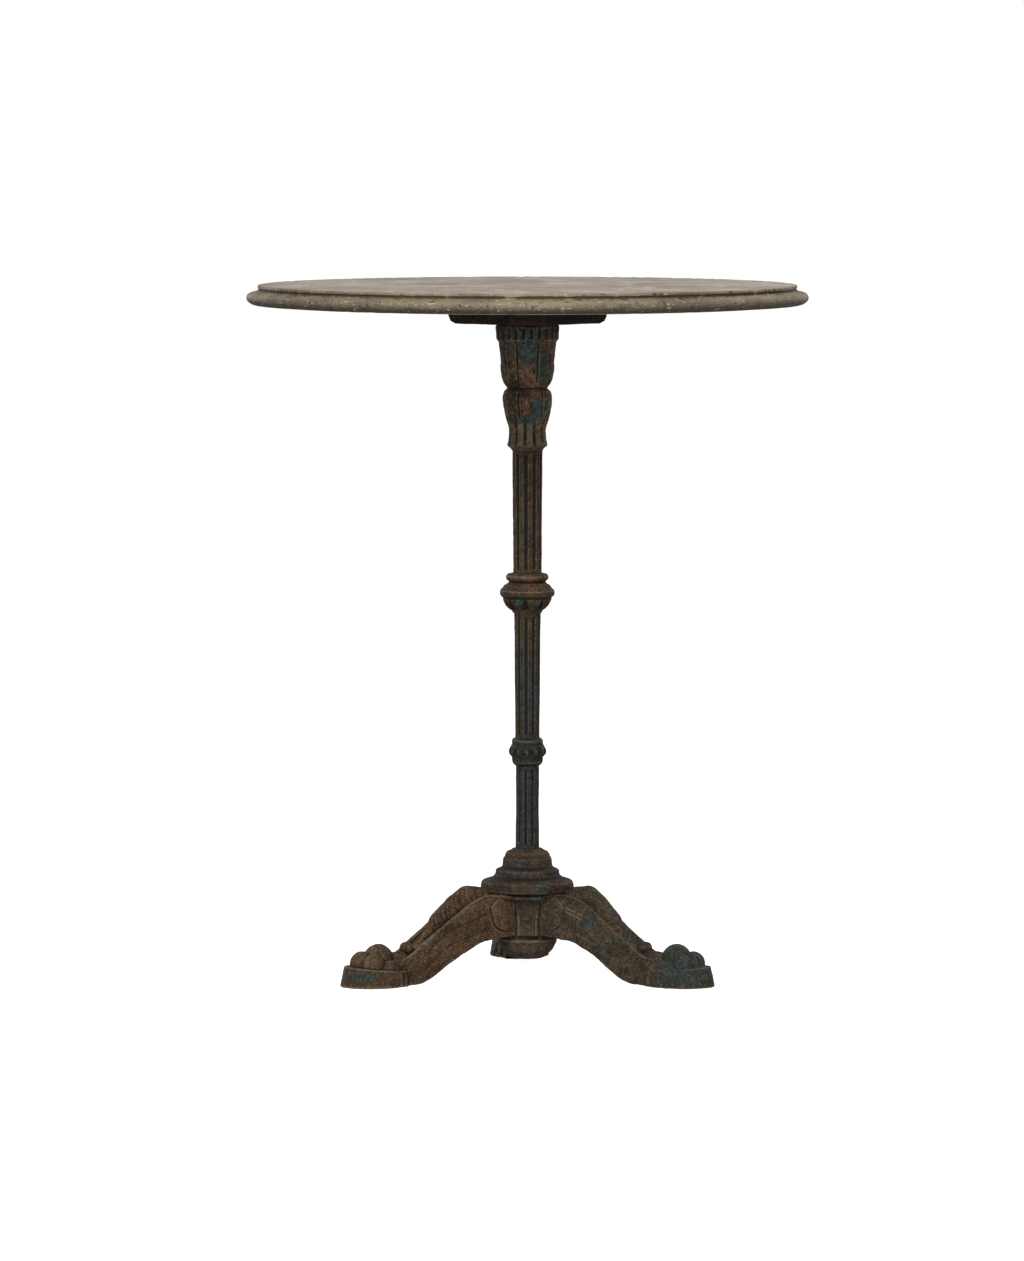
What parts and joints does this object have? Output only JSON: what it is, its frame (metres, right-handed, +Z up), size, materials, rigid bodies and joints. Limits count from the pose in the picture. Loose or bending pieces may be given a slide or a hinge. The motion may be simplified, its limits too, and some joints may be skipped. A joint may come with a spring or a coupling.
{
  "type": "bistro table",
  "caption": "Round bistro table: moulded stone top on a slim fluted cast-iron column, with arched paw-footed legs, in worn paint and rust.",
  "frame": {"origin": "on the floor, on the column's axis, below the centre of the round top", "axes": "+Z up; +Y along the rear leg, away from the side the picture shows; +X to that side's right"},
  "size_m": [0.6, 0.6, 0.741],
  "materials": {
    "stone": "satin",
    "rusty_iron": "matte",
    "painted_iron": "matte",
    "fastener_steel": "satin",
    "sleeve_brass": "satin"
  },
  "bodies": {
    "root": {"stone_top": "stone", "top_spider": "rusty_iron", "capital": "rusty_iron", "upper_shaft": "rusty_iron", "middle_knop": "rusty_iron", "lower_shaft": "painted_iron", "lower_ring": "painted_iron", "bottom_shaft": "painted_iron", "base_hub": "rusty_iron", "leg_right": "rusty_iron", "leg_rear": "rusty_iron", "leg_left": "rusty_iron", "tie_rod": "fastener_steel", "top_nut": "fastener_steel", "top_washer": "fastener_steel", "bottom_nut": "fastener_steel", "bottom_washer": "fastener_steel", "threaded_sleeve_1": "sleeve_brass", "top_screw_1": "fastener_steel", "screw_washer_1": "fastener_steel", "threaded_sleeve_2": "sleeve_brass", "top_screw_2": "fastener_steel", "screw_washer_2": "fastener_steel", "threaded_sleeve_3": "sleeve_brass", "top_screw_3": "fastener_steel", "screw_washer_3": "fastener_steel", "threaded_sleeve_4": "sleeve_brass", "top_screw_4": "fastener_steel", "screw_washer_4": "fastener_steel", "leg_bolt_right": "fastener_steel", "leg_washer_right": "fastener_steel", "leg_bolt_rear": "fastener_steel", "leg_washer_rear": "fastener_steel", "leg_bolt_left": "fastener_steel", "leg_washer_left": "fastener_steel"}
  },
  "joints": []
}
